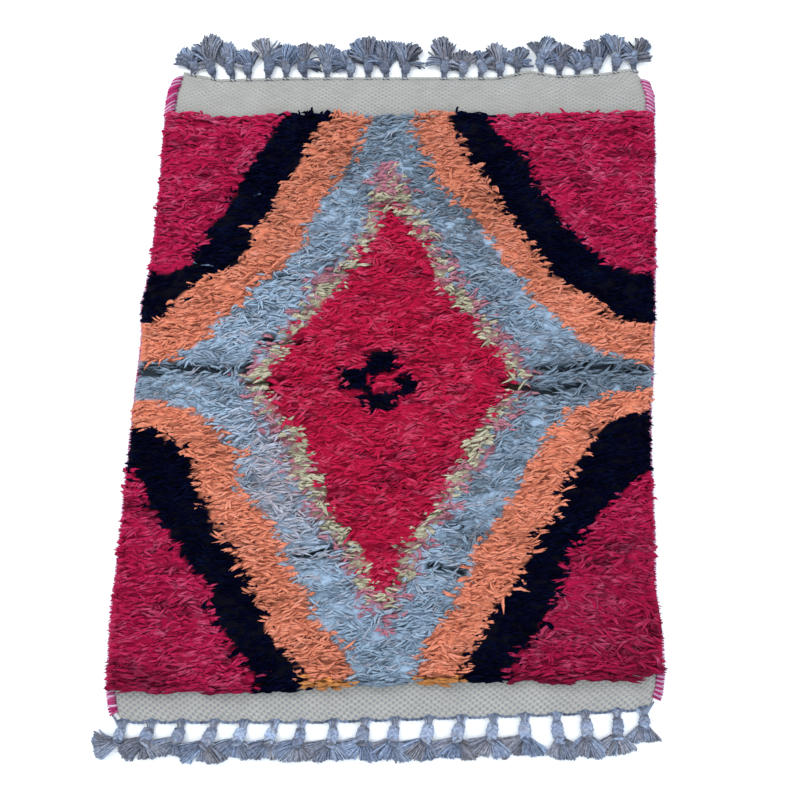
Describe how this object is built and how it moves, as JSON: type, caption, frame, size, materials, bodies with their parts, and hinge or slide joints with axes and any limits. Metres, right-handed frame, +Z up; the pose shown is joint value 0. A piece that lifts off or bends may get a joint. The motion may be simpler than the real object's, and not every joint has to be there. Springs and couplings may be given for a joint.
{
  "type": "pile rug",
  "caption": "Small hand-knotted pile rug with a nested lozenge pattern, flat-woven end bands, overcast long edges and plaited, knotted fringes at both ends, lying flat.",
  "frame": {"origin": "middle of the rug in plan, on the flat underside that rests on the floor", "axes": "+Y along the rug's length towards the end with the longer, upright-looking tufts; +X across its width; +Z up through the pile"},
  "size_m": [0.7178, 0.9694, 0.0201],
  "materials": {
    "ground_wool": "matt, plain flat weave in undyed grey-beige wool",
    "pile_wool": "matt to faintly glossy long wool pile: crimson, near-black navy, orange, blue-grey and sage",
    "selvedge_yarn": "matt overcast wool yarn in crimson and pale violet",
    "fringe_yarn": "matt grey-brown warp yarn, plaited, knotted and cut to brushes"
  },
  "bodies": {
    "root": {"woven_ground": "ground_wool", "pile": "pile_wool", "selvedge_left": "selvedge_yarn", "selvedge_right": "selvedge_yarn", "fringe_near": "fringe_yarn", "fringe_far": "fringe_yarn"}
  },
  "joints": []
}
